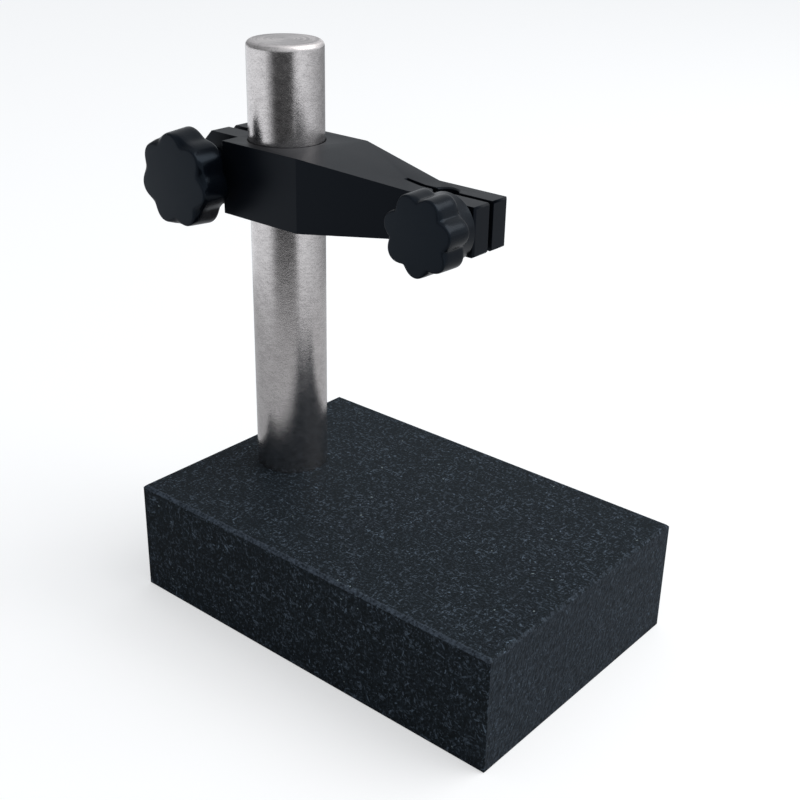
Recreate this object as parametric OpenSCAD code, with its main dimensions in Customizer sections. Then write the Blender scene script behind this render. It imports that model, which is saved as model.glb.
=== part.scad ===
// Comparator stand: a granite table, a steel column and a split clamp arm for an 8 mm gauge stem.
// Origin at the centre of the table's underside, +X along the arm to the front, +Z up.

/* [Granite base] */
// Length of the table, rear to front
base_l = 150; // [130:1:220]
// Width of the table
base_w = 100; // [80:1:160]
// Thickness of the table
base_h = 40; // [36:1:60]
// Chamfer along the table's top edges
base_edge = 0.9; // [0.5:0.1:2]
// Smaller chamfer along the table's upright and lower edges
base_arris = 0.3; // [0.1:0.05:0.5]

/* [Column] */
// Diameter of the column
column_d = 25; // [22:0.5:28]
// Height of the column above the table
column_h = 148; // [135:1:220]
// Distance from the table's rear edge to the column's axis
column_setback = 23.5; // [20:0.5:30]
// Chamfer round the column's top
column_edge = 1.2; // [0.4:0.1:2.5]
// Depth of the bored seat that locates the column's foot
seat_depth = 3; // [2:0.5:6]

/* [Column screw] */
// Thread diameter of the screw that holds the column
screw_d = 10; // [8:1:12]
// Diameter of the screw's head
screw_head_d = 16; // [14:0.5:18]
// Height of the screw's head
screw_head_h = 10; // [6:0.5:10]
// Width across flats of the key socket
screw_key = 8; // [5:0.5:8]
// How far the thread enters the column
screw_grip = 15; // [10:1:20]
// Outer diameter of the washer under the head
column_washer_d = 20; // [19:0.5:22]
// Thickness of the washer under the head
column_washer_t = 2; // [1.5:0.1:3]
// Gap round the washer in the recess under the table
recess_gap = 2; // [0.5:0.25:4]
// How far the screw's head stays above the table's underside
head_cover = 4; // [1:0.5:6]
// How far the tapped hole runs on past the screw's point
tap_over = 4; // [2:0.5:8]

/* [Clamp arm] */
// Height of the arm's middle plane above the table, as set
arm_set = 104.4; // [60:0.1:110]
// Thickness of the arm at the column
rear_t = 24; // [20:0.5:30]
// Thickness of the arm at the gauge end
nose_t = 15.2; // [12:0.2:18]
// Metal beside the column
side_wall = 4; // [3:0.25:6]
// Metal beside the gauge's stem
nose_wall = 3.9; // [3:0.1:6]
// Distance from the column's axis to the gauge stem's axis
stem_reach = 66; // [60:0.5:80]
// How far the straight part runs on in front of the column
front_run = 7.7; // [4:0.1:12]
// How far the straight nose runs behind the stem's axis
nose_run = 8.6; // [6:0.1:12]
// Distance from the rear clamp screw's axis to the rear end
rear_end = 8.8; // [8:0.1:12]
// Distance from the front clamp screw's axis to the front end
nose_front = 8.9; // [6:0.1:12]
// Chamfer across the rear end, above and below
rear_bevel = 4.2; // [1:0.2:5]
// Chamfer round the front end
nose_edge = 0.6; // [0.2:0.1:1.2]
// Width of the rear saw cut
rear_slit = 3; // [1.5:0.1:4]
// Width of the front saw cut
nose_slit = 2; // [1:0.1:3]
// How far the front saw cut runs behind the stem's axis
slit_run = 15.6; // [8:0.2:20]
// Small chamfer at the bores' mouths, the column's foot and the knobs' hubs
small_edge = 0.5; // [0.2:0.1:1]

/* [Gauge stem bore] */
// Diameter of the bore for the gauge's stem
stem_d = 8; // [6:0.5:9.5]

/* [Rear knob seat] */
// Thickness of the near cheek that the rear washer bears on
cheek_t = 7.9; // [6:0.1:9]
// How far the wall of the seat stands behind the column
seat_step = 0.5; // [0.2:0.1:3]

/* [Rear clamp screw and knob] */
// Thread diameter of the rear clamp screw
rear_stud_d = 6; // [5:0.5:8]
// How far the rear screw's point stays inside the far side
rear_point_in = 2.5; // [1:0.25:6]
// Diameter over the lobes of the rear knob
rear_knob_d = 32; // [28:0.2:34]
// Depth of the hollows between the lobes, at the grip's back
rear_knob_dip = 1.6; // [1:0.1:3]
// Gap between the rear grip's back and the arm's side
rear_grip_gap = 4; // [1.5:0.25:8]
// Thickness of the rear knob's lobed grip
rear_grip_t = 11.1; // [8:0.1:14]
// Diameter of the rear knob's hub
rear_hub_d = 15.4; // [14:0.2:17]
// Gap between that hub and the wall of its seat
rear_hub_gap = 0.5; // [0.3:0.1:2]
// Outer diameter of the rear washer
rear_washer_d = 12; // [11:0.5:14]
// Thickness of the rear washer
rear_washer_t = 1.6; // [0.8:0.1:2]

/* [Front clamp screw and knob] */
// Metal between the stem's bore and the front screw's hole
nose_bridge = 1.3; // [0.8:0.1:4]
// How far the front clamp screw lies above the arm's middle plane
nose_lift = 0.5; // [0:0.1:1]
// Thread diameter of the front clamp screw
nose_stud_d = 5; // [4:0.5:5.5]
// How far the front screw's point stays inside the far side
nose_point_in = 0.8; // [0.5:0.1:3]
// Diameter over the lobes of the front knob
nose_knob_d = 25.2; // [22:0.2:27]
// Depth of the hollows between the lobes, at the grip's back
nose_knob_dip = 1.9; // [1:0.1:3]
// Length of the front knob's hub
nose_hub_l = 5; // [2:0.25:8]
// Thickness of the front knob's lobed grip
nose_grip_t = 10.1; // [7:0.1:13]
// Diameter of the front knob's hub
nose_hub_d = 20.6; // [12:0.2:21]
// Outer diameter of the front washer
nose_washer_d = 10; // [9:0.5:12]
// Thickness of the front washer
nose_washer_t = 1; // [0.6:0.1:1.6]

/* [Knob shape] */
// Number of lobes on each knob
lobes = 7; // [5:1:9]
// Rounding of the edge round a grip's back
grip_edge = 1.5; // [0.6:0.1:2]
// Rounding of the edge round a grip's face, on the lobes
face_edge = 0.7; // [0.4:0.1:1.2]
// Depth behind the face over which the hollows slope in
scoop_t = 2; // [1.5:0.1:3]
// How far the rear grip's face is cut back in the hollows
rear_hollow_edge = 2.6; // [1.2:0.1:3]
// How far the front grip's face is cut back in the hollows
nose_hollow_edge = 1.4; // [1.2:0.1:3]
// How much lower the rear grip's lobes are at its face than at its back
rear_draft = 0.7; // [0:0.1:1]
// How much lower the front grip's lobes are at its face than at its back
nose_draft = 0.2; // [0:0.1:1]
// Height of the dome on a knob's face
face_dome = 0.5; // [0.2:0.1:1]
// Softness of the rear knob's hollows, as a share of a lobe's swell
rear_hollow_soft = 0.45; // [0.05:0.01:1]
// Softness of the front knob's hollows, as a share of a lobe's swell
nose_hollow_soft = 0.2; // [0.05:0.01:1]
// Angle of the rear knob's first lobe above the arm's length
rear_lobe_turn = 41.5; // [0:0.5:51]
// Angle of the front knob's first lobe above the arm's length
nose_lobe_turn = 12; // [0:0.5:51]

/* [Clearances] */
// Gap between the column and what it turns or slides in
column_gap = 0.05; // [0.02:0.01:0.1]
// Gap between a clamp screw and its tapped hole
thread_gap = 0.05; // [0.02:0.01:0.1]
// Gap between a screw and a plain hole or washer that it passes
plain_gap = 0.3; // [0.15:0.05:0.5]
// Gap between two pieces that are fixed to each other
fixed_gap = 0.02; // [0.01:0.01:0.04]

/* [Hidden] */
$fn = 96;

granite_colour = [0.13, 0.15, 0.18];
bright_colour = [0.72, 0.71, 0.7];
black_colour = [0.09, 0.1, 0.12];
knob_colour = [0.12, 0.13, 0.15];

// The column and the arm
column_x = column_setback - base_l / 2;
column_r = column_d / 2;
arm_z = base_h + arm_set;
arm_half_w = column_r + side_wall;
nose_half_w = stem_d / 2 + nose_wall;
taper_from = column_r + front_run;
taper_to = stem_reach - nose_run;

// The screw under the column
foot_z = base_h - seat_depth;
column_washer_z = head_cover + screw_head_h;
recess_depth = column_washer_z + column_washer_t;
recess_d = column_washer_d + 2 * recess_gap;
screw_tip_z = foot_z + screw_grip;
tap_end_z = screw_tip_z + tap_over;
key_depth = screw_head_h / 2;

// The rear clamp, measured back from the column's axis and out from the arm's middle
seat_wall = column_r + seat_step;
rear_screw_x = seat_wall + rear_hub_gap + rear_hub_d / 2;
rear_reach = rear_screw_x + rear_end;
rear_seat_y = rear_slit / 2 + cheek_t;
rear_knob_y = rear_seat_y + rear_washer_t;
rear_hub_l = arm_half_w + rear_grip_gap - rear_knob_y;
rear_stud_l = rear_knob_y + arm_half_w - rear_point_in;

// The front clamp, measured forward from the column's axis
nose_screw_x = stem_reach + stem_d / 2 + nose_bridge + plain_gap + nose_stud_d / 2;
nose_end = nose_screw_x + nose_front;
nose_knob_y = nose_half_w + nose_washer_t;
nose_stud_l = nose_knob_y + nose_half_w - nose_point_in;

// How far a cut runs past the face that it opens
over = 1;
// Fineness of a grip's outline and of its rounded edges
steps_per_lobe = 14;
edge_steps = 4;
scoop_steps = 3;
// Radius of the flat at a grip's back and of the dome's upper ring, and how far that ring lies below the top
back_share = 0.7;
dome_share = 0.6;
dome_fall = 0.3;
// A moulded-in screw head's radius, thickness and depth below the face, and the point's chamfer, per diameter
head_r_share = 0.8;
head_t_share = 0.9;
head_skin_share = 0.7;
point_share = 0.12;

// A block standing on z = 0, with one chamfer along its top edges and another along all the others
module chamfered_block(l, w, h, top, rest) {
    intersection() {
        translate([0, -w / 2, 0]) linear_extrude(h) chamfered_profile(l, w, rest, rest);
        translate([0, w / 2, 0]) rotate([90, 0, 0]) linear_extrude(w) chamfered_profile(l, h, top, rest);
        translate([-l / 2, 0, 0]) rotate([90, 0, 90]) linear_extrude(l) chamfered_profile(w, h, top, rest);
    }
}

// A rectangle standing on y = 0, with its upper and its lower corners cut off
module chamfered_profile(w, h, top, foot) {
    x = w / 2;
    polygon([[-x + foot, 0], [x - foot, 0], [x, foot], [x, h - top],
        [x - top, h], [-x + top, h], [-x, h - top], [-x, foot]]);
}

// Stands what it holds on the column's axis
module at_column(z) {
    translate([column_x, 0, z]) children();
}

// Turns an axis along Z to run out of the arm's near side, from a seat at y from its middle and up above it
module at_side(x, y, up = 0) {
    translate([column_x + x, -y, arm_z + up]) rotate([90, 0, 0]) children();
}

module ring(outer_r, inner_r, t) {
    difference() {
        cylinder(r = outer_r, h = t);
        translate([0, 0, -over]) cylinder(r = inner_r, h = t + 2 * over);
    }
}

module granite_base() {
    color(granite_colour) difference() {
        chamfered_block(base_l, base_w, base_h, base_edge, base_arris);
        at_column(-over) cylinder(d = recess_d, h = recess_depth + over);
        at_column(0) cylinder(r = screw_d / 2 + plain_gap, h = base_h);
        at_column(foot_z) cylinder(r = column_r + column_gap, h = seat_depth + over);
    }
}

module column() {
    h = seat_depth + column_h;
    color(bright_colour) at_column(foot_z) difference() {
        rotate_extrude() polygon([[0, 0], [column_r - small_edge, 0], [column_r, small_edge],
            [column_r, h - column_edge], [column_r - column_edge, h], [0, h]]);
        translate([0, 0, -over]) cylinder(r = screw_d / 2 + fixed_gap, h = tap_end_z - foot_z + over);
    }
}

module column_screw() {
    color(black_colour) at_column(head_cover) difference() {
        union() {
            cylinder(d = screw_head_d, h = screw_head_h);
            cylinder(d = screw_d, h = screw_tip_z - head_cover);
        }
        translate([0, 0, -over]) cylinder(d = screw_key / cos(30), h = key_depth + over, $fn = 6);
    }
}

module column_washer() {
    color(bright_colour) at_column(column_washer_z)
        ring(column_washer_d / 2, screw_d / 2 + plain_gap, column_washer_t);
}

// Outline of the arm from above: straight beside the column, tapered to the nose
module arm_plan() {
    w = nose_half_w;
    polygon([[-rear_reach, -arm_half_w], [taper_from, -arm_half_w], [taper_to, -w],
        [nose_end - nose_edge, -w], [nose_end, -w + nose_edge],
        [nose_end, w - nose_edge], [nose_end - nose_edge, w],
        [taper_to, w], [taper_from, arm_half_w], [-rear_reach, arm_half_w]]);
}

// Outline of the arm from the side, about its middle plane
module arm_side() {
    a = rear_t / 2;
    b = nose_t / 2;
    polygon([[-rear_reach, -a + rear_bevel], [-rear_reach + rear_bevel, -a], [taper_from, -a],
        [taper_to, -b], [nose_end - nose_edge, -b], [nose_end, -b + nose_edge],
        [nose_end, b - nose_edge], [nose_end - nose_edge, b], [taper_to, b],
        [taper_from, a], [-rear_reach + rear_bevel, a], [-rear_reach, a - rear_bevel]]);
}

// A through bore along Z with a chamfered mouth at each face of a plate of thickness t
module bore_with_mouths(r, t) {
    translate([0, 0, -t / 2 - over]) cylinder(r = r, h = t + 2 * over);
    for (turn = [0, 180])
        rotate([turn, 0, 0]) translate([0, 0, t / 2 - small_edge])
            cylinder(r1 = r, r2 = r + small_edge, h = small_edge);
}

// A cross hole for a clamp screw: plain in the near cheek, tapped in the far one
module clamp_hole(x, up, d, half_w) {
    translate([x, 0, up]) rotate([90, 0, 0]) {
        cylinder(r = d / 2 + plain_gap, h = half_w + over);
        translate([0, 0, -half_w - over]) cylinder(r = d / 2 + thread_gap, h = half_w + 2 * over);
    }
}

module clamp_arm() {
    color(black_colour) at_column(arm_z) difference() {
        intersection() {
            translate([0, 0, -rear_t / 2]) linear_extrude(rear_t) arm_plan();
            translate([0, arm_half_w, 0]) rotate([90, 0, 0]) linear_extrude(2 * arm_half_w) arm_side();
        }
        bore_with_mouths(column_r + column_gap, rear_t);
        translate([stem_reach, 0, 0]) bore_with_mouths(stem_d / 2, nose_t);
        translate([-rear_reach - over, -rear_slit / 2, -rear_t / 2 - over])
            cube([rear_reach + over, rear_slit, rear_t + 2 * over]);
        translate([stem_reach - slit_run, -nose_slit / 2, -rear_t / 2 - over])
            cube([nose_end - stem_reach + slit_run + over, nose_slit, rear_t + 2 * over]);
        translate([-rear_reach - over, -arm_half_w - over, -rear_t / 2 - over])
            cube([rear_reach + over - seat_wall, arm_half_w + over - rear_seat_y, rear_t + 2 * over]);
        clamp_hole(-rear_screw_x, 0, rear_stud_d, arm_half_w);
        clamp_hole(nose_screw_x, nose_lift, nose_stud_d, nose_half_w);
    }
}

// How far up a lobe the grip's outline is at angle a: 1 on a lobe, 0 in a hollow
function swell(a, soft) =
    (sqrt(pow(cos(a * lobes / 2), 2) + soft * soft) - soft) / (sqrt(1 + soft * soft) - soft);

// Rings of a grip from back to face: [height, inset on a lobe, inset in a hollow, share of the radius]
function grip_rings(from, to, draft, hollow_edge) =
    let (rim = to - face_dome, side_t = rim - face_edge - from - grip_edge, scoop = hollow_edge - face_edge)
    concat(
        [[from, grip_edge, grip_edge, back_share]],
        [for (i = [0:edge_steps]) let (a = 90 * i / edge_steps, inset = grip_edge * (1 - sin(a)))
            [from + grip_edge * (1 - cos(a)), inset, inset, 1]],
        [for (i = [0:scoop_steps - 1]) let (down = scoop_t - (scoop_t - face_edge) * i / scoop_steps)
            [rim - down, draft * (1 - (down - face_edge) / side_t), scoop * scoop_share(down), 1]],
        [for (i = [0:edge_steps]) let (a = 90 * i / edge_steps, down = face_edge * (1 - sin(a)),
            inset = face_edge * (1 - cos(a)))
            [rim - down, draft + inset, scoop * scoop_share(down) + inset, 1]],
        [[to - face_dome * dome_fall, draft + face_edge, hollow_edge, dome_share]]);

// How much of its full slope-in a hollow has, at a depth below the rim of the face
function scoop_share(down) = pow(1 - down / scoop_t, 1.5);

// Radius of a ring where the outline's swell is w, for lobes of radius tip with hollows dip deep
function ring_r(ring, w, tip, dip) =
    ((tip - ring[1]) * w + (tip - dip - ring[2]) * (1 - w)) * ring[3];

// The lobed grip, a closed skin through the rings with a point at the middle of each end
module lobed_grip(tip, dip, soft, draft, hollow_edge, from, to, turn) {
    rings = grip_rings(from, to, draft, hollow_edge);
    n = lobes * steps_per_lobe;
    m = len(rings);
    points = concat(
        [for (k = [0:m - 1], i = [0:n - 1])
            let (a = 360 * i / n, r = ring_r(rings[k], swell(a - turn, soft), tip, dip))
            [r * cos(a), r * sin(a), rings[k][0]]],
        [[0, 0, from], [0, 0, to]]);
    walls = [for (k = [0:m - 2], i = [0:n - 1]) let (j = (i + 1) % n)
        each [[k * n + i, (k + 1) * n + i, (k + 1) * n + j], [k * n + i, (k + 1) * n + j, k * n + j]]];
    back = [for (i = [0:n - 1]) [m * n, i, (i + 1) % n]];
    face = [for (i = [0:n - 1]) [m * n + 1, (m - 1) * n + (i + 1) % n, (m - 1) * n + i]];
    polyhedron(points, concat(walls, back, face));
}

// A moulded knob from its seat at z = 0: a round hub, then the lobed grip, with the screw's head moulded in
module knob(tip, dip, soft, draft, hollow_edge, hub_l, grip_t, hub_d, stud_d, turn) {
    hub_r = hub_d / 2;
    color(knob_colour) difference() {
        union() {
            lobed_grip(tip, dip, soft, draft, hollow_edge, hub_l, hub_l + grip_t, turn);
            rotate_extrude() polygon([[0, 0], [hub_r - small_edge, 0], [hub_r, small_edge],
                [hub_r, hub_l + over], [0, hub_l + over]]);
        }
        stud_body(stud_d, -over, hub_l + grip_t, fixed_gap);
    }
}

// A clamp screw about Z: a plain shank from z = low up to its moulded-in head below the knob's face
module stud_body(d, low, face, grow) {
    head_t = d * head_t_share;
    head_top = face - d * head_skin_share;
    translate([0, 0, low]) cylinder(r = d / 2 + grow, h = head_top - low);
    translate([0, 0, head_top - head_t - grow]) cylinder(r = d * head_r_share + grow, h = head_t + 2 * grow);
}

module clamp_screw(d, length, face) {
    point = d * point_share;
    color(bright_colour) {
        stud_body(d, point - length, face, 0);
        translate([0, 0, -length]) cylinder(r1 = d / 2 - point, r2 = d / 2, h = point);
    }
}

module clamp_washer(outer_d, stud_d, t) {
    color(bright_colour) ring(outer_d / 2, stud_d / 2 + plain_gap / 2, t);
}

module rear_knob() {
    at_side(-rear_screw_x, rear_knob_y)
        knob(rear_knob_d / 2, rear_knob_dip, rear_hollow_soft, rear_draft, rear_hollow_edge,
            rear_hub_l, rear_grip_t, rear_hub_d, rear_stud_d, rear_lobe_turn);
}

module rear_clamp_screw() {
    at_side(-rear_screw_x, rear_knob_y) clamp_screw(rear_stud_d, rear_stud_l, rear_hub_l + rear_grip_t);
}

module rear_washer() {
    at_side(-rear_screw_x, rear_seat_y) clamp_washer(rear_washer_d, rear_stud_d, rear_washer_t);
}

module front_knob() {
    at_side(nose_screw_x, nose_knob_y, nose_lift)
        knob(nose_knob_d / 2, nose_knob_dip, nose_hollow_soft, nose_draft, nose_hollow_edge,
            nose_hub_l, nose_grip_t, nose_hub_d, nose_stud_d, nose_lobe_turn);
}

module front_clamp_screw() {
    at_side(nose_screw_x, nose_knob_y, nose_lift)
        clamp_screw(nose_stud_d, nose_stud_l, nose_hub_l + nose_grip_t);
}

module front_washer() {
    at_side(nose_screw_x, nose_half_w, nose_lift) clamp_washer(nose_washer_d, nose_stud_d, nose_washer_t);
}

granite_base();
column();
column_screw();
column_washer();
clamp_arm();
rear_knob();
rear_clamp_screw();
rear_washer();
front_knob();
front_clamp_screw();
front_washer();
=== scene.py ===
# Looks of the comparator stand: a granite table, a ground steel column and a split clamp arm with
# two lobed knobs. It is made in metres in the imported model's own frame: +X along the arm to the
# front, +Z up, knobs towards -Y. The pieces' sizes are given in millimetres.
import math
import bmesh
import bpy
import numpy as np
from mathutils import Matrix, Vector


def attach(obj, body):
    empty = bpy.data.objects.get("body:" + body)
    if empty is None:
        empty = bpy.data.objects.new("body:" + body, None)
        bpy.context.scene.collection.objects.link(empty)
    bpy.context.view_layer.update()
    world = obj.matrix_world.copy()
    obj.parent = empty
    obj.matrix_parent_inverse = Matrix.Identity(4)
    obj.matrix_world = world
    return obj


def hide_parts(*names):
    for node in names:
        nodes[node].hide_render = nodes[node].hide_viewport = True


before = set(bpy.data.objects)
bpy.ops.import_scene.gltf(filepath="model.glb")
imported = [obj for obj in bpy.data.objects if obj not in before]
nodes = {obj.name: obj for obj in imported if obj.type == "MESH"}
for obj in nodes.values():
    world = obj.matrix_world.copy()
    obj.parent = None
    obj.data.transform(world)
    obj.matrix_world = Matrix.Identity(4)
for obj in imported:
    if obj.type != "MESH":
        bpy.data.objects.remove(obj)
bpy.context.view_layer.update()
mm = 0.001
black, white = (0.0, 0.0, 0.0), (1.0, 1.0, 1.0)
print("frame loaded:", len(nodes), "nodes")


# A wrapped socket: arithmetic written with it adds Math nodes to its tree
class Wire:
    def __init__(self, paint, socket):
        self.paint = paint
        self.socket = socket

    def math(self, operation, first, second=0.0):
        return self.paint.node("Math", {"operation": operation}, {0: first, 1: second})

    def __add__(self, other):
        return self.math("ADD", self, other)

    def __sub__(self, other):
        return self.math("SUBTRACT", self, other)

    def __rsub__(self, other):
        return self.math("SUBTRACT", other, self)

    def __mul__(self, other):
        return self.math("MULTIPLY", self, other)

    def __truediv__(self, other):
        return self.math("DIVIDE", self, other)

    def __rtruediv__(self, other):
        return self.math("DIVIDE", other, self)

    def __pow__(self, other):
        return self.math("POWER", self, other)

    def __lt__(self, other):
        return self.math("LESS_THAN", self, other)

    __radd__ = __add__
    __rmul__ = __mul__

    def high(self, other):
        return self.math("MAXIMUM", self, other)

    def size(self):
        return self.math("ABSOLUTE", self)

    # Another output of the node that this socket is on
    def also(self, output):
        return Wire(self.paint, self.socket.node.outputs[output])


# One node tree being painted; node() makes every node in it
class Paint:
    def __init__(self, tree):
        self.tree = tree

    def node(self, kind, settings=None, inputs=None, output=0):
        made = self.tree.nodes.new("ShaderNode" + kind)
        for name, setting in (settings or {}).items():
            setattr(made, name, setting)
        for name, value in (inputs or {}).items():
            self.plug(made.inputs[name], value)
        return Wire(self, made.outputs[output])

    # Links a wire or sets a value; a colour given as three numbers gets its fourth
    def plug(self, socket, value):
        if isinstance(value, Wire):
            self.tree.links.new(value.socket, socket)
            return
        held = socket.default_value
        short = hasattr(held, "__len__") and len(held) == 4 and len(value) == 3
        socket.default_value = (*value, 1.0) if short else value

    # Object coordinates in millimetres, measured from a point of the object
    def place(self, centre=(0, 0, 0)):
        coordinates = self.node("TexCoord", output="Object")
        scaled = self.vector("SCALE", coordinates, scale=1 / mm)
        return self.vector("SUBTRACT", scaled, tuple(c / mm for c in centre))

    def vector(self, operation, first, second=(0, 0, 0), scale=None):
        inputs = {0: first, 1: second} if scale is None else {0: first, "Scale": scale}
        output = "Value" if operation == "DOT_PRODUCT" else "Vector"
        return self.node("VectorMath", {"operation": operation}, inputs, output)

    def split(self, vector):
        x = self.node("SeparateXYZ", None, {0: vector})
        return x, x.also(1), x.also(2)

    def join(self, x, y, z):
        return self.node("CombineXYZ", None, {0: x, 1: y, 2: z})

    # Noise from 0 to 1 with the given grain size in millimetres
    def noise(self, place, grain, detail=2.0, rough=0.5):
        inputs = {"Vector": place, "Scale": 1 / grain, "Detail": detail, "Roughness": rough}
        return self.node("TexNoise", None, inputs)

    # Goes smoothly from low to high while value goes from start to end
    def step(self, value, start, end, low=0.0, high=1.0):
        inputs = {"Value": value, "From Min": start, "From Max": end, "To Min": low, "To Max": high}
        return self.node("MapRange", {"interpolation_type": "SMOOTHSTEP"}, inputs)

    # Soft patches: a noise of the given grain, detail and roughness, faded as step does
    def patches(self, place, noise, fade):
        return self.step(self.noise(place, *noise), *fade)

    def mix(self, factor, first, second, blend="MIX"):
        settings = {"data_type": "RGBA", "blend_type": blend}
        return self.node("Mix", settings, {0: factor, 6: first, 7: second}, 2)

    # Bumps of the given depth in millimetres
    def bump(self, height, depth, strength):
        inputs = {"Height": height, "Distance": depth * mm, "Strength": strength}
        return self.node("Bump", None, inputs)


def newMaterial(name, **fixed):
    material = bpy.data.materials.new(name)
    material.use_nodes = True
    paint = Paint(material.node_tree)
    shader = material.node_tree.nodes["Principled BSDF"]
    for socket, value in fixed.items():
        paint.plug(shader.inputs[socket.replace("_", " ")], value)
    return material, paint, shader


# What varies over a surface
def dress(paint, shader, colour, roughness, normal):
    paint.plug(shader.inputs["Base Color"], colour)
    paint.plug(shader.inputs["Roughness"], roughness)
    paint.plug(shader.inputs["Normal"], normal)


# A finish with soft clouds of two colours and a fine grain. The roughness goes up and down with
# both by the two spreads, and the grain raises the bumps
def cloudedMaterial(name, how, **fixed):
    material, paint, shader = newMaterial(name, **fixed)
    place = paint.place()
    cloud = paint.noise(place, *how["cloud"])
    grain = paint.noise(paint.vector("MULTIPLY", place, how["squeeze"]), *how["grain"])
    byCloud, byGrain = how["spread"]
    rough = how["roughness"] + byCloud * (cloud - 0.5) + byGrain * (grain - 0.5)
    dress(paint, shader, paint.mix(cloud, how["colour"], how["pale"]), rough,
          paint.bump(grain, *how["bump"]))
    return material


def wear(piece, material):
    for slot in piece.material_slots:
        slot.material = material


# The camera at the photograph's angle, in metres and degrees
camera = {
    "place": (238.05 * mm, -287.01 * mm, 254.02 * mm),
    "azimuth": 39.84,
    "elevation": 25.13,
    "roll": 1.19,
    "lens": 56.734,
    "near": 0.01,
    "far": 50.0,
}


# The camera's axes: back points from the object to it, and side and up are turned about back by
# the roll
def placeCamera(how):
    azimuth, elevation, roll = (math.radians(how[k]) for k in ("azimuth", "elevation", "roll"))
    flat = math.cos(elevation)
    back = Vector((math.sin(azimuth) * flat, -math.cos(azimuth) * flat, math.sin(elevation)))
    level = Vector((math.cos(azimuth), math.sin(azimuth), 0))
    upright = back.cross(level)
    side = level * math.cos(roll) + upright * math.sin(roll)
    up = upright * math.cos(roll) - level * math.sin(roll)
    made = bpy.data.objects.new("camera", bpy.data.cameras.new("camera"))
    made.data.lens = how["lens"]
    made.data.clip_start = how["near"]
    made.data.clip_end = how["far"]
    axes = Matrix((side, up, back)).transposed()
    made.matrix_world = Matrix.Translation(how["place"]) @ axes.to_4x4()
    bpy.context.scene.collection.objects.link(made)
    bpy.context.scene.camera = made


# A pale floor under one large soft lamp, in metres
stage = {
    "sheetCentre": (-0.0515, 0.0),
    "sheetRadius": 0.31,        # the lit sheet that the stand is on, which the metal mirrors
    "floorRadius": 12.0,
    "floorSides": 96,
    "floorTone": (0.54, 0.543, 0.547),
    "floorRoughness": 0.9,
    "floorGlow": 0.5,           # what the camera sees of the floor on top of its own shading
    "keyPlace": (0.75, 0.55, 1.15),
    "keySize": 1.3,
    "keyPower": 11.0,
    "keyTone": (1.0, 0.99, 0.98),
    "aim": (-0.01, 0.0, 0.08),
}


# The floor is a lit sheet round the stand and a wide ring beyond it, which the metal doesn't mirror
def placeFloor(how):
    material, paint, shader = newMaterial(
        "paleFloor", Base_Color=how["floorTone"], Roughness=how["floorRoughness"],
        Specular_IOR_Level=0.0, Emission_Strength=how["floorGlow"])
    seen = paint.node("LightPath", output="Is Camera Ray")
    paint.plug(shader.inputs["Emission Color"], paint.mix(seen, black, white))
    sides = how["floorSides"]
    turn = np.linspace(0, 2 * np.pi, sides, endpoint=False)
    rim = np.stack([np.cos(turn), np.sin(turn), 0 * turn], axis=1)
    points = np.concatenate([rim * how["sheetRadius"], rim * how["floorRadius"]])
    points[:, :2] += how["sheetCentre"]
    step = np.arange(sides)
    after = (step + 1) % sides
    ring = np.stack([step, sides + step, sides + after, after], axis=1)
    for name, faces in {"sheet": [step.tolist()], "floor": ring.tolist()}.items():
        mesh = bpy.data.meshes.new(name)
        mesh.from_pydata(points.tolist(), [], faces)
        mesh.materials.append(material)
        floor = bpy.data.objects.new(name, mesh)
        floor.visible_glossy = name == "sheet"
        bpy.context.scene.collection.objects.link(floor)


def placeLight(how):
    light = bpy.data.lights.new("keyLight", "AREA")
    light.shape = "DISK"
    light.size = how["keySize"]
    light.energy = how["keyPower"]
    light.color = how["keyTone"]
    made = bpy.data.objects.new("keyLight", light)
    away = Vector(how["keyPlace"]) - Vector(how["aim"])
    turned = away.to_track_quat("Z", "Y").to_matrix()
    made.matrix_world = Matrix.Translation(how["keyPlace"]) @ turned.to_4x4()
    bpy.context.scene.collection.objects.link(made)


# The studio's own light. Each pair says where a change starts and ends, in degrees from +X
studio = {
    "overhead": 0.62,               # brightness of the studio above the floor
    "brightSide": 0.5,              # how much brighter it is towards the back right
    "brightWay": (0.62, 0.5, 0.3),
    "dimmest": 0.05,
    "horizon": (-0.02, 0.02),       # in height, for a direction of length 1
    "lowLeft": 1.05,                # what the metal mirrors below the horizon, left and behind
    "lowRight": 0.34,               # and to the right
    "lowDark": 0.06,                # and in the unlit gap where the camera stands
    "gapStart": (-114.0, -75.0),
    "gapEnd": (-27.0, -13.0),
    "rightStart": (-25.0, -15.0),
    "rightFade": (-20.0, 110.0),
    "rightEnd": (110.0, 170.0),
    "tint": (0.925, 0.960, 1.0),
}


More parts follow.
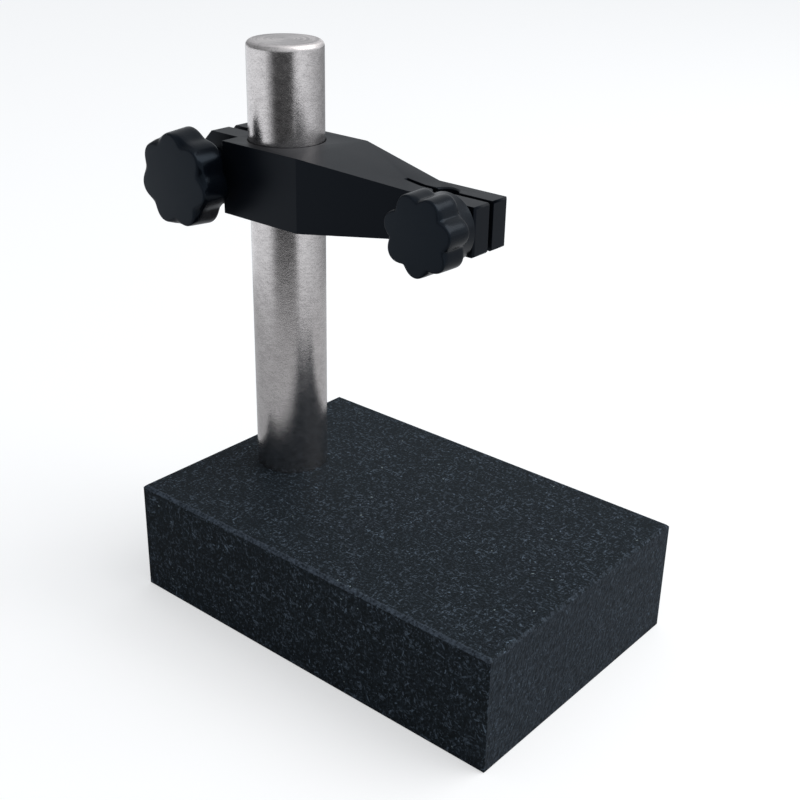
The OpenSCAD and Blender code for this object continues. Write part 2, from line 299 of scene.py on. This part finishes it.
# Light by direction: an even top that brightens to the back right, and below the horizon a ring of
# pale surfaces with one unlit gap. turn = atan2(y, x) in degrees
def paintStudio(how):
    world = bpy.data.worlds.new("studio")
    bpy.context.scene.world = world
    world.use_nodes = True
    paint = Paint(world.node_tree)
    background = world.node_tree.nodes["Background"]
    x, y, z = paint.split(paint.node("TexCoord", output="Generated"))
    turn = x.math("ARCTAN2", y, x) * (180 / math.pi)
    wayX, wayY, wayZ = how["brightWay"]
    top = how["overhead"] + how["brightSide"] * (x * wayX + y * wayY + z * wayZ)
    gap = paint.step(turn, *how["gapStart"]) * paint.step(turn, *how["gapEnd"], 1.0, 0.0)
    fade = paint.step(turn, *how["rightFade"]) * (1 - paint.step(turn, *how["rightEnd"]))
    right = how["lowLeft"] - (how["lowLeft"] - how["lowRight"]) * fade
    side = paint.step(turn, *how["rightStart"])
    pale = how["lowLeft"] * (1 - side) + right * side
    low = pale * (1 - gap) + how["lowDark"] * gap
    above = paint.step(z, *how["horizon"])
    seen = low * (1 - above) + top.high(how["dimmest"]) * above
    direct = paint.node("LightPath", output="Is Camera Ray")
    paint.plug(background.inputs["Color"], paint.mix(direct, how["tint"], white))
    paint.plug(background.inputs["Strength"], seen * (1 - direct) + direct)


placeCamera(camera)
placeFloor(stage)
placeLight(stage)
paintStudio(studio)
bpy.context.scene.view_settings.view_transform = "Standard"
print("camera, floor and light placed")


# The granite table. A noise is given as its grain size in mm, detail and roughness, and a fade as
# where it starts and ends, and what it goes from and to where that isn't 0 and 1
granite = {
    "length": 150.0,
    "width": 100.0,
    "height": 40.0,
    "chamfer": 0.9,
    "gloss": 0.06,
    "roughness": 0.58,
    "mottleRoughness": 0.16,
    "groundRoughness": 0.15,
    "matrixDark": (0.0048, 0.0074, 0.0092),
    "matrixPale": (0.0148, 0.0205, 0.0266),
    "mottle": ((0.8, 4.0, 0.62), (0.38, 0.66)),
    "cluster": ((7.0, 2.0), (0.32, 0.66, 0.55, 1.1)),   # wisps and grains stand in clusters
    "bend": (2.0, 2.0, 0.5),        # noise that bends them
    "bendReach": 1.1,
    # each weave of wisps: how much it is squeezed along x, y and z, and its grain size in mm
    "weaves": [((1.0, 3.0, 2.0), 2.3), ((3.0, 1.0, 2.0), 2.1), ((1.8, 2.4, 0.8), 1.7)],
    "weaveDetail": (2.0, 0.6),
    "weaveShift": 31.0,
    "weaveFade": (0.575, 0.72),
    "weaveShare": 0.8,
    "wisp": (0.0660, 0.0860, 0.1110),
    # each scatter of grains: spacing, half length and half width in mm, share of cells that hold
    # one, strength
    "scatters": [(1.6, 0.95, 0.19, 0.45, 0.65), (2.6, 1.55, 0.30, 0.45, 0.75)],
    "scatterShift": 17.0,
    "fleck": (0.118, 0.157, 0.205),
    "brightScatter": (5.0, 0.70, 0.24, 0.3, 0.9),
    "brightShift": 71.0,
    "brightFleck": (0.26, 0.32, 0.33),
    "shiftWay": (1.0, 0.7, -1.3),
    "grainFade": (1.25, 0.55),      # across a grain's outline, which is at 1
    "grainDimmest": 0.45,
    "sawnDark": (0.007, 0.010, 0.014),
    "sawnPale": (0.043, 0.053, 0.068),
    "sawnEdge": (0.05, 0.0),
    "sawnShare": 0.5,
    "streakSlant": 0.4,
    "streakSize": (0.7, 2.4),       # across and along, in mm
    "streaks": ((1.0, 3.0, 0.6), (0.40, 0.62)),
    "edge": (0.056, 0.070, 0.090),
    "edgeTones": ((0.3, 0.3, 0.3), (1.6, 1.6, 1.6)),
    "edgePatches": ((1.0, 3.0, 0.6), (0.3, 0.7)),       # the ground edge is patchy
    "edgeShare": 0.7,
    "reach": (0.72, 0.9),           # least width of the ground edge and how much more, per chamfer
    "reachNoise": (1.6, 3.0, 0.55),
    "reachAlong": 1.25,             # how much further it reaches over the top than down the side
    "groundTop": (0.25, -0.45),
    "groundSide": (0.04, -0.06),
    "endEdge": (0.25, -0.15),
    "endRub": ((1.4, 3.0, 0.6), (0.48, 0.6)),
    "endShare": 0.4,
    "grit": (0.22, 2.0),
    "gritHeight": 0.5,
    "chips": (0.6, 3.0, 0.6),
    "bump": (0.12, 0.6),
}


# One scatter of lath-shaped grains, one in each Voronoi cell, turned its own way. With v from the
# cell's centre, a along the grain and c^2 = |v|^2 - a^2, a point is in the grain where
# (a / length)^2 + c^2 / width^2 < 1
def scatterGrains(paint, place, how, scatter, shift):
    spacing, length, width, share, strength = scatter
    moved = paint.vector("ADD", place, tuple(shift * way for way in how["shiftWay"]))
    inputs = {"Vector": moved, "Scale": 1 / spacing}
    cells = paint.node("TexVoronoi", {"feature": "F1"}, inputs, "Color")
    local = paint.vector("SUBTRACT", moved, cells.also("Position"))
    way = paint.vector("NORMALIZE", paint.vector("SUBTRACT", cells, (0.5, 0.5, 0.5)))
    along = paint.vector("DOT_PRODUCT", local, way)
    across = paint.vector("DOT_PRODUCT", local, local) - along * along
    inside = paint.step(along * along / length**2 + across / width**2, *how["grainFade"])
    blue = paint.split(cells)[2]
    chance = paint.node("TexWhiteNoise", {"noise_dimensions": "3D"}, {"Vector": cells}, "Value")
    bright = how["grainDimmest"] + (1 - how["grainDimmest"]) * blue
    return inside * (chance < share) * bright * strength


def graniteMaterial(how):
    material, paint, shader = newMaterial("flecked granite", Specular_IOR_Level=how["gloss"])
    place = paint.place()
    x, y, z = paint.split(place)
    wander = paint.noise(place, *how["bend"]).also("Color")
    bent = paint.vector("ADD", place, paint.vector("SCALE", wander, scale=how["bendReach"]))
    cluster = paint.patches(place, *how["cluster"])
    mottle = paint.patches(place, *how["mottle"])
    colour = paint.mix(mottle, how["matrixDark"], how["matrixPale"])
    for number, (squeeze, grain) in enumerate(how["weaves"]):
        moved = paint.vector("ADD", bent, (how["weaveShift"] * number, 0.0, 0.0))
        squeezed = paint.vector("MULTIPLY", moved, squeeze)
        weave = paint.patches(squeezed, (grain, *how["weaveDetail"]), how["weaveFade"])
        colour = paint.mix(weave * cluster * how["weaveShare"], colour, how["wisp"])
    for number, scatter in enumerate(how["scatters"]):
        grains = scatterGrains(paint, bent, how, scatter, how["scatterShift"] * number)
        colour = paint.mix(grains * cluster, colour, how["fleck"])
    bright = scatterGrains(paint, bent, how, how["brightScatter"], how["brightShift"])
    colour = paint.mix(bright, colour, how["brightFleck"])
    fromX = how["length"] / 2 - x.size()
    fromY = how["width"] / 2 - y.size()
    fromTop = how["height"] - z
    # the sawn ends are greyer, with fine slanting streaks
    streakWidth, streakLength = how["streakSize"]
    slanted = paint.join(x, (y - z * how["streakSlant"]) / streakWidth, z / streakLength)
    sawn = paint.mix(paint.patches(slanted, *how["streaks"]), how["sawnDark"], how["sawnPale"])
    colour = paint.mix(paint.step(fromX, *how["sawnEdge"]) * how["sawnShare"], colour, sawn)
    # the ground chamfer along the sides, sharp below and running out into the top
    least, more = how["reach"]
    reach = how["chamfer"] * (least + more * paint.noise(place, *how["reachNoise"]))
    onTop = paint.step(fromY - reach * how["reachAlong"], *how["groundTop"])
    ground = onTop * paint.step(fromTop - reach, *how["groundSide"])
    tone = paint.mix(paint.patches(place, *how["edgePatches"]), *how["edgeTones"])
    edge = paint.mix(1.0, how["edge"], tone, "MULTIPLY")
    colour = paint.mix(ground * how["edgeShare"], colour, edge)
    # and only rubbed on the ends
    endEdge = paint.step(fromX.high(fromTop) - how["chamfer"], *how["endEdge"])
    rubbed = paint.patches(place, *how["endRub"])
    colour = paint.mix(endEdge * rubbed * how["endShare"], colour, how["edge"])
    rough = how["roughness"] + how["mottleRoughness"] * (mottle - 0.5)
    grit = paint.noise(place, *how["grit"]) * how["gritHeight"]
    chips = paint.noise(place, *how["chips"]) * ground
    dress(paint, shader, colour, rough + how["groundRoughness"] * ground,
          paint.bump(grit + chips, *how["bump"]))
    return material


wear(nodes["granite_base"], graniteMaterial(granite))
print("granite table painted")


# The ground steel column, in mm, with heights from the table's top
column = {
    "axis": (-51.5 * mm, 0.0, 40 * mm),
    "radius": 12.5,
    "foot": -3.0,
    "top": 148.0,
    "footEdge": 0.5,
    "topEdge": 2.1,         # rounding round the top, which cuts off as much as the solid's chamfer
    "hole": 5.02,           # for the screw that holds it
    "holeTop": 16.0,
    "core": 0.3,            # radius of the last ring round a flat end's middle
    "support": 0.3,         # flat rings beside the rounding, which keep its shading even
    "edgeSteps": 9,
    "columns": 160,
    "sharpAngle": 30.0,
    "pale": (0.688, 0.650, 0.640),
    "dull": (0.470, 0.444, 0.437),
    "scratch": (0.320, 0.303, 0.298),
    "scratchShare": 0.5,
    "anisotropy": 0.35,
    "roughness": 0.2,
    "topRoughness": 0.24,   # how much rougher the turned top face and its edge are
    "blotchRoughness": 0.12,
    "hatchRoughness": 0.2,
    # each set of grinding marks: how fast it winds up the bar in radians per mm, its width and
    # length in mm; the first two count for the first share and the others for the second
    "marks": [(0.085, 0.32, 3.2), (-0.11, 0.28, 2.8), (0.30, 1.0, 1.3), (-0.36, 1.1, 1.2)],
    "markShares": (0.24, 0.26),
    "markNoise": (1.0, 2.0, 0.55),
    "topFade": 0.4,         # the turned finish is complete this share of the rounding below the top
    "turnedWidth": 0.35,    # of its rings, in mm
    "turnedDrift": 0.06,    # which breaks them up
    "turnedNoise": (1.0, 3.0, 0.6),
    "tickWidth": 0.5,       # short upright scratches
    "tickLength": 1.5,
    "ticks": ((1.0, 2.0), (0.37, 0.29)),
    "blotch": (2.6, 3.0, 0.6),
    "fine": (0.4, 3.0, 0.6),
    "wornShares": (0.15, 0.6, 0.25),    # what blotches, marks and fine grain do to the colour
    "wornFade": (0.42, 0.56),
    "bumpShares": (0.6, 0.4),           # what marks and fine grain do to the relief
    "bump": (0.12, 0.6),
}


# Marks that wind round the bar: with t = twist * z the point is turned about the axis by t, so a
# noise that is fine across and long in z follows a helix and closes on itself all round
def windingMarks(paint, place, how, twist, width, length):
    x, y, z = paint.split(place)
    turn = z * twist
    c, s = turn.math("COSINE", turn), turn.math("SINE", turn)
    wound = paint.join((x * c - y * s) / width, (x * s + y * c) / width, z / length)
    return paint.noise(wound, *how["markNoise"])


def columnMaterial(how):
    material, paint, shader = newMaterial(
        "ground steel", Metallic=1.0, Anisotropic=how["anisotropy"])
    place = paint.place(how["axis"])
    marks = [windingMarks(paint, place, how, *mark) for mark in how["marks"]]
    fineShare, coarseShare = how["markShares"]
    hatch = (marks[0] + marks[1]) * fineShare + (marks[2] + marks[3]) * coarseShare
    x, y, z = paint.split(place)
    edge = how["topEdge"]
    top = paint.step(z, how["top"] - edge, how["top"] - edge * how["topFade"])
    fromAxis = (x * x + y * y) ** 0.5
    drift = how["turnedDrift"]
    rings = paint.join(fromAxis / how["turnedWidth"], x * drift, y * drift)
    hatch = hatch * (1 - top) + paint.noise(rings, *how["turnedNoise"]) * top
    width = how["tickWidth"]
    upright = paint.join(x / width, y / width, z / how["tickLength"])
    scratched = paint.patches(upright, *how["ticks"])
    blotch = paint.noise(place, *how["blotch"])
    fine = paint.noise(place, *how["fine"])
    byBlotch, byHatch, byFine = how["wornShares"]
    worn = paint.step(blotch * byBlotch + hatch * byHatch + fine * byFine, *how["wornFade"])
    colour = paint.mix(worn, how["dull"], how["pale"])
    colour = paint.mix(scratched * how["scratchShare"], colour, how["scratch"])
    rough = how["roughness"] + how["topRoughness"] * top + how["blotchRoughness"] * (blotch - 0.5)
    rough = rough + how["hatchRoughness"] * (hatch - 0.5)
    hatchHeight, fineHeight = how["bumpShares"]
    relief = hatch * hatchHeight + fine * fineHeight
    dress(paint, shader, colour, rough, paint.bump(relief, *how["bump"]))
    return material


# A closed skin through rings of points, of shape (rings, columns, 3), with a point at the middle of
# each end. Rings run so that the skin's outside lies to the right of the way from ring to ring,
# seen from outside the axis
def skin(name, rings, material, sharp):
    count, columns = rings.shape[:2]
    ends = rings[[0, -1]].mean(axis=1)
    points = np.concatenate([rings.reshape(-1, 3), ends])
    ring, step = np.meshgrid(np.arange(count - 1), np.arange(columns), indexing="ij")
    here, there = ring * columns + step, ring * columns + (step + 1) % columns
    walls = np.stack([here, there, there + columns, here + columns], axis=-1).reshape(-1, 4)
    step = np.arange(columns)
    after = (step + 1) % columns
    first, last = count * columns, (count - 1) * columns
    start = np.stack([np.full(columns, first), after, step], axis=1)
    end = np.stack([np.full(columns, first + 1), last + step, last + after], axis=1)
    mesh = bpy.data.meshes.new(name)
    mesh.from_pydata(points.tolist(), [], walls.tolist() + start.tolist() + end.tolist())
    mesh.shade_smooth()
    mesh.set_sharp_from_angle(angle=math.radians(sharp))
    mesh.materials.append(material)
    made = bpy.data.objects.new(name, mesh)
    bpy.context.scene.collection.objects.link(made)
    return made


# Carries points whose axis is +Z from the screw's seat to its place on the arm's near side:
# x, y, z to x, -z, y
def ontoSide(points, seat):
    turned = np.stack([points[..., 0], -points[..., 2], points[..., 1]], axis=-1)
    return turned * mm + np.array(seat)


# Circles of the profile's radii and heights, all about +Z
def circles(profile, turn):
    radius, height = np.array(profile, float).T[..., None]
    around = [radius * np.cos(turn), radius * np.sin(turn), height + 0 * turn]
    return np.stack(around, axis=-1)


# The bar: up the screw's hole to its end, out round the foot, up the side and over the rounded
# edge, which is a quarter circle in the profile
def makeColumn(how):
    turn = np.linspace(0, 2 * np.pi, how["columns"], endpoint=False)
    radius, foot, top, core = how["radius"], how["foot"], how["top"], how["core"]
    footEdge, edge, support = how["footEdge"], how["topEdge"], how["support"]
    profile = [(core, how["holeTop"]), (how["hole"], how["holeTop"]), (how["hole"], foot),
               (radius - footEdge, foot), (radius, foot + footEdge),
               (radius, top - edge - support)]
    bend = np.linspace(0, np.pi / 2, how["edgeSteps"])
    profile += [(radius - edge * (1 - math.cos(a)), top - edge * (1 - math.sin(a))) for a in bend]
    profile += [(radius - edge - support, top), (core, top)]
    rings = circles(profile, turn) * mm + np.array(how["axis"])
    made = skin("groundBar", rings, columnMaterial(how), how["sharpAngle"])
    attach(made, "column")
    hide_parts("column")
    print("column made")


makeColumn(column)


# What the two moulded knobs share, in mm
knobShape = {
    "lobes": 7,
    "columnsPerLobe": 26,
    "backEdge": 1.5,        # rounding of the edge round the grip's back
    "faceEdge": 0.7,        # and of the edge round its face
    "edgeSteps": 7,
    "scoop": 2.0,           # how far behind the face the hollows slope in
    "scoopPower": 1.5,
    "scoopSteps": 6,
    "backSteps": 5,
    "backClear": 0.03,      # what the grip's back keeps outside the fillet
    "sideSteps": 5,
    "dome": 0.5,
    "faceSteps": 12,
    "tipShare": 0.02,       # size of the last ring on the face
    "hubEdge": 0.5,
    "filletSteps": 6,
    "gap": 0.02,            # round the moulded-in screw
    "headRadius": 0.8,      # of the screw's head, per thread diameter
    "headDepth": 0.9,
    "headSkin": 0.7,
    "core": 0.3,
    "sharpAngle": 40.0,
}
# hub and grip are lengths along the screw, tip is a lobe's radius and dip a hollow's depth
rearKnob = {
    "name": "rearGrip",
    "node": "rear_knob",
    "body": "rear_knob",
    "seat": (-72.7 * mm, -11.0 * mm, 144.4 * mm),
    "hub": 9.5, "hubRadius": 7.7, "fillet": 0.9,
    "grip": 11.1, "tip": 16.0, "dip": 1.6, "soft": 0.45, "draft": 0.7, "hollowEdge": 2.6,
    "turn": 41.5,
    "thread": 6.0,
}
frontKnob = {
    "name": "frontGrip",
    "node": "front_knob",
    "body": "front_knob",
    "seat": (22.6 * mm, -8.9 * mm, 144.9 * mm),
    "hub": 5.0, "hubRadius": 10.3, "fillet": 0.1,
    "grip": 10.1, "tip": 12.6, "dip": 1.9, "soft": 0.2, "draft": 0.2, "hollowEdge": 1.4,
    "turn": 12.0,
    "thread": 5.0,
}


# The knob as rings from the bottom of the screw's pocket, out of it, up the round hub, over the
# grip's back edge, up its side, over the front edge and along the domed face. A lobe's swell is
# sqrt(cos^2(lobes * a / 2) + soft^2), stretched to run from 0 in a hollow to 1 on a lobe, and a
# grip ring's radius at an angle goes with the swell from tip - dip - inset in a hollow to
# tip - inset on a lobe. A lobe's inset grows by the draft from back to face, and a hollow's by
# (1 - down / scoop)^scoopPower of its slope-in, with down measured from the rim
def knobRings(how, shape):
    turn = np.linspace(0, 2 * np.pi, shape["lobes"] * shape["columnsPerLobe"], endpoint=False)
    soft = how["soft"]
    swell = np.sqrt(np.cos(turn * shape["lobes"] / 2) ** 2 + soft**2) - soft
    swell = swell / (math.sqrt(1 + soft**2) - soft)
    turn = turn + math.radians(how["turn"])
    low, high = how["hub"], how["hub"] + how["grip"]
    screw, gap, hub, fillet = how["thread"], shape["gap"], how["hubRadius"], how["fillet"]
    backEdge, faceEdge = shape["backEdge"], shape["faceEdge"]
    scoop, dome = shape["scoop"], shape["dome"]
    rim = high - dome
    sideLength = rim - faceEdge - low - backEdge

    def outline(onLobe, inHollow):
        hollow = how["tip"] - how["dip"] - inHollow
        return (how["tip"] - onLobe) * swell + hollow * (1 - swell)

    def slopeIn(down):
        share = np.maximum(1 - down / scoop, 0) ** shape["scoopPower"]
        return (how["hollowEdge"] - faceEdge) * share

    # the screw's pocket and hole, the hub and its fillet
    headTop = high - screw * shape["headSkin"]
    headLow = headTop - screw * shape["headDepth"]
    headRadius, bore = screw * shape["headRadius"] + gap, screw / 2 + gap
    inner = [(shape["core"], headTop + gap), (headRadius, headTop + gap),
             (headRadius, headLow - gap), (bore, headLow - gap), (bore, 0.0),
             (hub - shape["hubEdge"], 0.0), (hub, shape["hubEdge"])]
    bend = np.linspace(0, np.pi / 2, shape["filletSteps"])
    inner += [(hub + fillet * (1 - math.cos(a)), low - fillet * (1 - math.sin(a))) for a in bend]
    inner = circles(inner, turn)
    # the flat back, from the fillet's circle to the grip's inset outline, and its rounded edge
    bend = np.linspace(0, np.pi / 2, shape["edgeSteps"])[:, None]
    inset = backEdge * (1 - np.sin(bend))
    backRound = np.maximum(outline(inset, inset), hub + fillet + shape["backClear"])
    backHeight = low + backEdge * (1 - np.cos(bend))
    across = np.linspace(0, 1, shape["backSteps"])[1:-1, None]
    backRadius = (1 - across) * (hub + fillet) + across * backRound[0]
    # the side: plain rows first, then those in the hollows' slope
    plain = np.linspace(rim - low - backEdge, scoop, shape["sideSteps"])[1:-1]
    sloped = np.linspace(scoop, faceEdge, shape["scoopSteps"])[:-1]
    down = np.concatenate([plain, sloped])[:, None]
    sideRadius = outline(how["draft"] * (1 - (down - faceEdge) / sideLength), slopeIn(down))
    inset = faceEdge * (1 - np.cos(bend))
    left = faceEdge * (1 - np.sin(bend))
    faceRound = outline(how["draft"] + inset, slopeIn(left) + inset)
    # the face is one round dome, so its rim lies higher in the hollows
    share = np.linspace(1, 0, shape["faceSteps"])[1:-1, None]
    faceRim = outline(how["draft"] + faceEdge, how["hollowEdge"])
    widest = how["tip"] - how["draft"] - faceEdge
    lift = dome * (1 - (faceRim / widest) ** 2)
    faceRadius = faceRim * share
    faceHeight = high - dome * (faceRadius / widest) ** 2
    radius = np.concatenate([backRadius, backRound, sideRadius, faceRound, faceRadius])
    height = np.concatenate([
        np.full_like(backRadius, low), backHeight + 0 * backRound,
        rim - down + lift * (down <= scoop), rim - left + lift, faceHeight])
    grip = np.stack([radius * np.cos(turn), radius * np.sin(turn), height], axis=-1)
    tip = grip[-1:] * 1.0
    tip[..., :2] *= shape["tipShare"]
    tip[..., 2] = high
    return np.concatenate([inner, grip, tip])


knobPlastic = {
    "colour": (0.0060, 0.0078, 0.0108),
    "pale": (0.0082, 0.0106, 0.0144),
    # the sides' colour, much darker than the face's: painted shade
    "side": (0.0014, 0.0022, 0.0038),
    "roughness": 0.42,
    "sideRoughness": 0.2,
    "cloudRoughness": 0.12,
    "gloss": 0.155,
    "glossTint": (0.62, 0.79, 1.0),
    "cloud": (5.0, 3.0),
    "pits": (0.32, 2.0),
    "bump": (0.05, 0.35),
}


# The face is matt, and the moulded sides are smoother, so they mirror what is round them more
# sharply. The sides are also painted much darker than the face: painted shade, standing in for the
# shade that falls on them between the knob and the arm. -y is the height along the screw
def knobMaterial(how, knob):
    material, paint, shader = newMaterial(
        knob["name"] + " plastic", Specular_IOR_Level=how["gloss"], Specular_Tint=how["glossTint"])
    place = paint.place(knob["seat"])
    height = 0 - paint.split(place)[1]
    rim = knob["hub"] + knob["grip"] - knobShape["dome"]
    face = paint.step(height, rim - knobShape["faceEdge"], rim)
    cloud = paint.noise(place, *how["cloud"])
    # the sides get the darker colour, a painted shade; the face keeps its clouded colour
    colour = paint.mix(face, how["side"], paint.mix(cloud, how["colour"], how["pale"]))
    rough = how["sideRoughness"] + (how["roughness"] - how["sideRoughness"]) * face
    dress(paint, shader, colour, rough + how["cloudRoughness"] * (cloud - 0.5),
          paint.bump(paint.noise(place, *how["pits"]), *how["bump"]))
    return material


def makeKnob(how):
    rings = ontoSide(knobRings(how, knobShape), how["seat"])
    material = knobMaterial(knobPlastic, how)
    knob = skin(how["name"], rings, material, knobShape["sharpAngle"])
    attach(knob, how["body"])
    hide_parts(how["node"])


makeKnob(rearKnob)
makeKnob(frontKnob)
print("knobs made")


# The clamp screws with their threads; depth, crest and rows are per pitch, and the point is per
# diameter
screwShape = {
    "rowsPerPitch": 12,
    "columns": 44,
    "depth": 0.58,
    "crest": 0.14,
    "point": 0.12,
    "plain": 1.0,           # neck without a thread, in mm
    "sharpAngle": 50.0,
}
rearScrew = {
    "name": "rearStud",
    "node": "rear_clamp_screw",
    "knob": rearKnob,
    "length": 25.0,
    "pitch": 1.0,
}
frontScrew = {
    "name": "frontStud",
    "node": "front_clamp_screw",
    "knob": frontKnob,
    "length": 16.0,
    "pitch": 0.8,
}


# The threaded part is r = d / 2 - depth * cut, where cut follows
# |2 * frac(h / pitch - a / 2 pi) - 1| with flats at the crest and the root; it is bounded by the
# point's cone and runs out towards the plain neck
def screwRings(how, shape):
    knob = how["knob"]
    d, pitch, length = knob["thread"], how["pitch"], how["length"]
    plain, crest = shape["plain"], shape["crest"]
    turn = np.linspace(0, 2 * np.pi, shape["columns"], endpoint=False)
    rows = int(round((length - plain) / pitch * shape["rowsPerPitch"])) + 1
    height = np.linspace(-length, -plain, rows)[:, None]
    wave = np.abs(2 * ((height / pitch - turn / (2 * np.pi)) % 1.0) - 1)
    cut = np.clip((wave - crest) / (1 - 2 * crest), 0, 1) * shape["depth"] * pitch
    cut = cut * np.clip((-plain - height) / pitch, 0, 1)
    cone = d / 2 - d * shape["point"] + (height + length)
    radius = np.minimum(d / 2 - cut, cone)
    thread = [radius * np.cos(turn), radius * np.sin(turn), height + 0 * radius]
    headTop = knob["hub"] + knob["grip"] - d * knobShape["headSkin"]
    headLow = headTop - d * knobShape["headDepth"]
    head = d * knobShape["headRadius"]
    upper = [(d / 2, headLow), (head, headLow), (head, headTop), (knobShape["core"], headTop)]
    return np.concatenate([np.stack(thread, axis=-1), circles(upper, turn)])


def makeScrew(how, material):
    rings = ontoSide(screwRings(how, screwShape), how["knob"]["seat"])
    screw = skin(how["name"], rings, material, screwShape["sharpAngle"])
    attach(screw, how["knob"]["body"])
    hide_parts(how["node"])


zincPlate = {
    "colour": (0.52, 0.53, 0.55),
    "pale": (0.68, 0.68, 0.69),
    "roughness": 0.3,
    "spread": (0.2, 0.1),
    "cloud": (1.6, 3.0),
    "grain": (0.25, 2.0),
    "squeeze": (1.0, 1.0, 1.0),
    "bump": (0.03, 0.5),
}
zinc = cloudedMaterial("zinc plate", zincPlate, Metallic=1.0)
makeScrew(rearScrew, zinc)
makeScrew(frontScrew, zinc)
for name in ("rear_washer", "front_washer", "column_washer"):
    wear(nodes[name], zinc)
print("screws and washers made")


# The black screw under the table
blackOxide = {
    "colour": (0.035, 0.035, 0.038),
    "pale": (0.075, 0.074, 0.076),
    "metallic": 0.85,
    "roughness": 0.38,
    "spread": (0.2, 0.0),
    "cloud": (2.2, 3.0),
    "grain": (0.3, 2.0),
    "squeeze": (1.0, 1.0, 1.0),
    "bump": (0.03, 0.5),
}
oxide = cloudedMaterial("black oxide", blackOxide, Metallic=blackOxide["metallic"])
wear(nodes["column_screw"], oxide)
print("table screw painted")


# The clamp arm, in mm and degrees
arm = {
    "edge": 0.16,           # what the tool and the finish take off each long edge
    "edgeSegments": 2,
    "edgeProfile": 0.6,
    "shortest": 2.6,        # shorter edges, as round the bores, already have their chamfer
    "cornerAngle": 8.0,     # and flatter ones aren't corners
    "flatAngle": 0.5,
    "merge": 0.001,
    "sharpAngle": 40.0,
    "colour": (0.0022, 0.0030, 0.0048),
    "pale": (0.0040, 0.0052, 0.0076),
    "gloss": 0.13,
    "glossTint": (0.73, 0.84, 1.0),
    "roughness": 0.34,
    "spread": (0.08, 0.06),
    "cloud": (11.0, 3.0),
    "grain": (0.18, 2.0),
    "squeeze": (1.0, 1.0, 0.55),
    "bump": (0.02, 0.5),
}


# The arm's own mesh with its long sharp edges broken
def makeArm(how):
    merge = how["merge"] * mm
    shape = bmesh.new()
    shape.from_mesh(nodes["clamp_arm"].data)
    bmesh.ops.remove_doubles(shape, verts=shape.verts, dist=merge)
    bmesh.ops.dissolve_limit(shape, angle_limit=math.radians(how["flatAngle"]), verts=shape.verts,
                             edges=shape.edges)
    long = [e for e in shape.edges
            if len(e.link_faces) == 2 and e.calc_length() > how["shortest"] * mm
            and e.calc_face_angle() > math.radians(how["cornerAngle"])]
    bmesh.ops.bevel(shape, geom=long, offset=how["edge"] * mm, offset_type="OFFSET",
                    segments=how["edgeSegments"], profile=how["edgeProfile"], affect="EDGES",
                    clamp_overlap=True)
    bmesh.ops.remove_doubles(shape, verts=shape.verts, dist=merge)
    bmesh.ops.triangulate(shape, faces=shape.faces)
    mesh = bpy.data.meshes.new("splitArm")
    shape.to_mesh(mesh)
    shape.free()
    mesh.shade_smooth()
    mesh.set_sharp_from_angle(angle=math.radians(how["sharpAngle"]))
    mesh.materials.clear()
    mesh.materials.append(cloudedMaterial(
        "black anodised", how, Specular_IOR_Level=how["gloss"], Specular_Tint=how["glossTint"]))
    made = bpy.data.objects.new("splitArm", mesh)
    bpy.context.scene.collection.objects.link(made)
    weigh = made.modifiers.new("even faces", "WEIGHTED_NORMAL")
    weigh.keep_sharp = True
    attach(made, "arm")
    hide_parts("clamp_arm")
    print("arm made:", len(long), "edges broken")


makeArm(arm)
